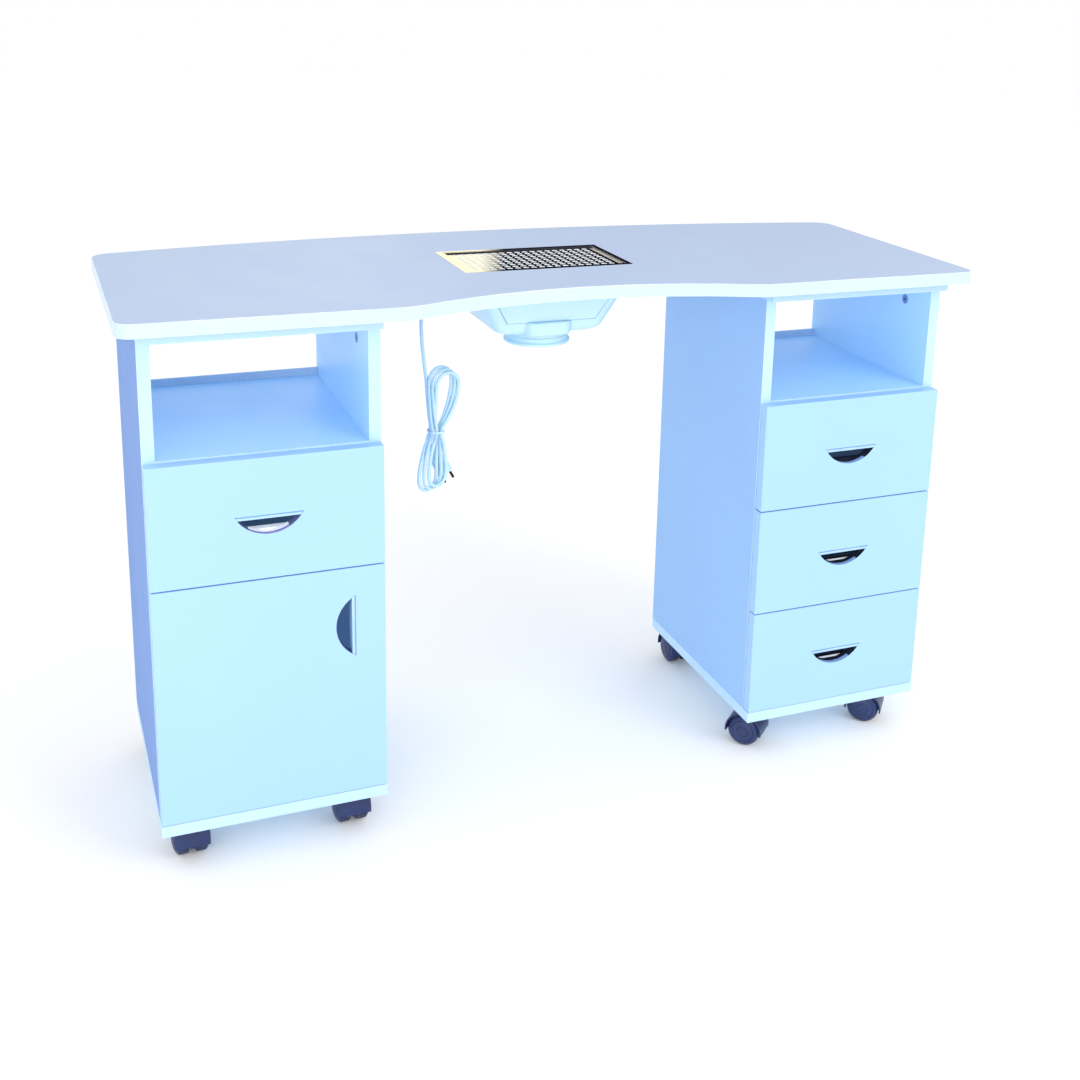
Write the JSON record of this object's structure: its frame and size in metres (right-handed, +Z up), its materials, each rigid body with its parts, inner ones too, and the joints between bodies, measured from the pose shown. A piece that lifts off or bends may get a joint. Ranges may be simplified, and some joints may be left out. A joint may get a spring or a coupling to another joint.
{
  "type": "manicure table",
  "caption": "White manicure table with a scooped top, a built-in dust extractor, two pedestal cabinets with drawers and a door, and swivel castors.",
  "frame": {"origin": "on the floor, under the middle of the worktop's bounding box", "axes": "+Z up; -Y towards the technician's side, which the drawers face; +X to the right as seen from that side"},
  "size_m": [1.2, 0.485, 0.75],
  "materials": {
    "worktop": "satin melamine-faced board",
    "front_board": "satin melamine-faced board",
    "carcass_board": "satin melamine-faced board",
    "tray_board": "matt melamine-faced board",
    "hardboard": "painted hardboard",
    "vent_metal": "polished",
    "housing_plastic": "smooth moulded",
    "fan_dark": "moulded",
    "fan_steel": "satin",
    "zinc": "zinc plated",
    "caster_plate": "black",
    "caster_plastic": "satin moulded",
    "caster_wheel": "satin moulded",
    "rail_plastic": "moulded",
    "lead_sheath": "smooth vinyl sheath",
    "plug_plastic": "moulded"
  },
  "bodies": {
    "root": {"tabletop": "worktop", "vent_frame": "vent_metal", "vent_grille": "vent_metal", "fan_housing": "housing_plastic", "outlet_collar": "housing_plastic", "fan_motor": "fan_dark", "housing_screws": "zinc", "cord_gland": "housing_plastic", "left_base_board": "carcass_board", "left_outer_side": "carcass_board", "left_inner_side": "carcass_board", "left_top_board": "carcass_board", "left_shelf": "carcass_board", "left_divider": "carcass_board", "left_back_panel": "hardboard", "right_base_board": "carcass_board", "right_outer_side": "carcass_board", "right_inner_side": "carcass_board", "right_top_board": "carcass_board", "right_shelf": "carcass_board", "right_back_panel": "hardboard", "caster_plates": "caster_plate", "drawer_rails": "rail_plastic", "cam_locks": "zinc", "door_pivots": "zinc", "magnetic_catch": "rail_plastic", "cord_lead": "lead_sheath", "cord_hank": "lead_sheath", "cord_tie": "lead_sheath", "plug": "plug_plastic"},
    "fan_rotor": {"fan_impeller": "fan_steel"},
    "door": {"left_door": "front_board"},
    "left_drawer": {"left_drawer_front": "front_board", "left_drawer_walls": "tray_board", "left_drawer_bottom": "hardboard"},
    "right_drawer_1": {"right_drawer_1_front": "front_board", "right_drawer_1_walls": "tray_board", "right_drawer_1_bottom": "hardboard"},
    "right_drawer_2": {"right_drawer_2_front": "front_board", "right_drawer_2_walls": "tray_board", "right_drawer_2_bottom": "hardboard"},
    "right_drawer_3": {"right_drawer_3_front": "front_board", "right_drawer_3_walls": "tray_board", "right_drawer_3_bottom": "hardboard"},
    "caster_1_swivel": {"caster_1_hood": "caster_plastic"},
    "caster_1_roll": {"caster_1_wheels": "caster_wheel"},
    "caster_2_swivel": {"caster_2_hood": "caster_plastic"},
    "caster_2_roll": {"caster_2_wheels": "caster_wheel"},
    "caster_3_swivel": {"caster_3_hood": "caster_plastic"},
    "caster_3_roll": {"caster_3_wheels": "caster_wheel"},
    "caster_4_swivel": {"caster_4_hood": "caster_plastic"},
    "caster_4_roll": {"caster_4_wheels": "caster_wheel"},
    "caster_5_swivel": {"caster_5_hood": "caster_plastic"},
    "caster_5_roll": {"caster_5_wheels": "caster_wheel"},
    "caster_6_swivel": {"caster_6_hood": "caster_plastic"},
    "caster_6_roll": {"caster_6_wheels": "caster_wheel"},
    "caster_7_swivel": {"caster_7_hood": "caster_plastic"},
    "caster_7_roll": {"caster_7_wheels": "caster_wheel"},
    "caster_8_swivel": {"caster_8_hood": "caster_plastic"},
    "caster_8_roll": {"caster_8_wheels": "caster_wheel"}
  },
  "joints": [
    {"name": "fan_spin", "type": "hinge", "parent": "root", "child": "fan_rotor", "pos_m": [0, -0.01, 0.69], "axis": [0, 0, 1], "continuous": true},
    {"name": "door_swing", "type": "hinge", "parent": "root", "child": "door", "pos_m": [-0.5675, -0.2025, 0.24], "axis": [0, 0, -1], "range_deg": [0, 100]},
    {"name": "left_drawer_slide", "type": "slide", "parent": "root", "child": "left_drawer", "axis": [0, -1, 0], "range_m": [0, 0.23]},
    {"name": "right_drawer_1_slide", "type": "slide", "parent": "root", "child": "right_drawer_1", "axis": [0, -1, 0], "range_m": [0, 0.23]},
    {"name": "right_drawer_2_slide", "type": "slide", "parent": "root", "child": "right_drawer_2", "axis": [0, -1, 0], "range_m": [0, 0.23]},
    {"name": "right_drawer_3_slide", "type": "slide", "parent": "root", "child": "right_drawer_3", "axis": [0, -1, 0], "range_m": [0, 0.23]},
    {"name": "caster_1_turn", "type": "hinge", "parent": "root", "child": "caster_1_swivel", "pos_m": [-0.5345, -0.1765, 0.052], "axis": [0, 0, 1], "continuous": true},
    {"name": "caster_1_spin", "type": "hinge", "parent": "caster_1_swivel", "child": "caster_1_roll", "pos_m": [-0.5345, -0.1585, 0.025], "axis": [-1, 0, 0], "continuous": true},
    {"name": "caster_2_turn", "type": "hinge", "parent": "root", "child": "caster_2_swivel", "pos_m": [-0.3185, -0.1765, 0.052], "axis": [0, 0, 1], "continuous": true},
    {"name": "caster_2_spin", "type": "hinge", "parent": "caster_2_swivel", "child": "caster_2_roll", "pos_m": [-0.3185, -0.1585, 0.025], "axis": [-1, 0, 0], "continuous": true},
    {"name": "caster_3_turn", "type": "hinge", "parent": "root", "child": "caster_3_swivel", "pos_m": [-0.5345, 0.0995, 0.052], "axis": [0, 0, 1], "continuous": true},
    {"name": "caster_3_spin", "type": "hinge", "parent": "caster_3_swivel", "child": "caster_3_roll", "pos_m": [-0.53137, 0.11723, 0.025], "axis": [-0.9848, 0.1736, 0], "continuous": true},
    {"name": "caster_4_turn", "type": "hinge", "parent": "root", "child": "caster_4_swivel", "pos_m": [-0.3185, 0.0995, 0.052], "axis": [0, 0, 1], "continuous": true},
    {"name": "caster_4_spin", "type": "hinge", "parent": "caster_4_swivel", "child": "caster_4_roll", "pos_m": [-0.32163, 0.11723, 0.025], "axis": [-0.9848, -0.1736, 0], "continuous": true},
    {"name": "caster_5_turn", "type": "hinge", "parent": "root", "child": "caster_5_swivel", "pos_m": [0.3185, -0.1765, 0.052], "axis": [0, 0, 1], "continuous": true},
    {"name": "caster_5_spin", "type": "hinge", "parent": "caster_5_swivel", "child": "caster_5_roll", "pos_m": [0.306, -0.16355, 0.025], "axis": [-0.7193, -0.6947, 0], "continuous": true},
    {"name": "caster_6_turn", "type": "hinge", "parent": "root", "child": "caster_6_swivel", "pos_m": [0.5345, -0.1765, 0.052], "axis": [0, 0, 1], "continuous": true},
    {"name": "caster_6_spin", "type": "hinge", "parent": "caster_6_swivel", "child": "caster_6_roll", "pos_m": [0.52092, -0.16469, 0.025], "axis": [-0.6561, -0.7547, 0], "continuous": true},
    {"name": "caster_7_turn", "type": "hinge", "parent": "root", "child": "caster_7_swivel", "pos_m": [0.3185, 0.0995, 0.052], "axis": [0, 0, 1], "continuous": true},
    {"name": "caster_7_spin", "type": "hinge", "parent": "caster_7_swivel", "child": "caster_7_roll", "pos_m": [0.3185, 0.1175, 0.025], "axis": [-1, 0, 0], "continuous": true},
    {"name": "caster_8_turn", "type": "hinge", "parent": "root", "child": "caster_8_swivel", "pos_m": [0.5345, 0.0995, 0.052], "axis": [0, 0, 1], "continuous": true},
    {"name": "caster_8_spin", "type": "hinge", "parent": "caster_8_swivel", "child": "caster_8_roll", "pos_m": [0.52834, 0.11641, 0.025], "axis": [-0.9397, -0.342, 0], "continuous": true}
  ]
}
